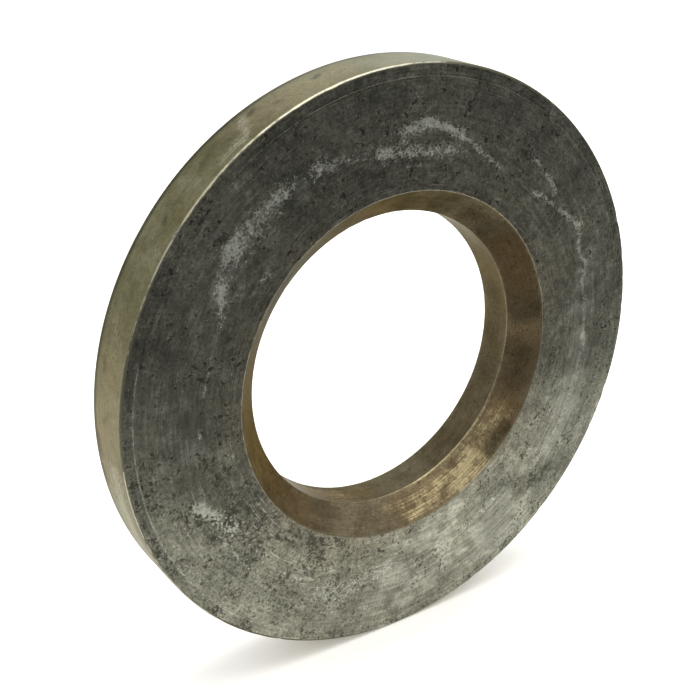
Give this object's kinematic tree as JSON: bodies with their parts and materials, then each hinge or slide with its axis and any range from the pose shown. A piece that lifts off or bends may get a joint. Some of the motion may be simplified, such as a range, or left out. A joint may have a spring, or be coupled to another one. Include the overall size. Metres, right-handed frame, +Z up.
{
  "type": "bevelled flange ring",
  "caption": "Thick flat turned steel ring with a wide conical bevel at the mouth of its plain bore.",
  "frame": {"origin": "on the axis, where the bore meets the flat back face", "axes": "+Y along the bore axis, out of the back face; the bevelled front face looks along -Y; +Z is up as the ring stands on its rim"},
  "size_m": [0.15, 0.0162, 0.15],
  "materials": {
    "turned_steel": "turned bare steel, dull grey on the face and brown with old oxide on the rim and in the bore"
  },
  "bodies": {
    "root": {"flange_ring": "turned_steel"}
  },
  "joints": []
}
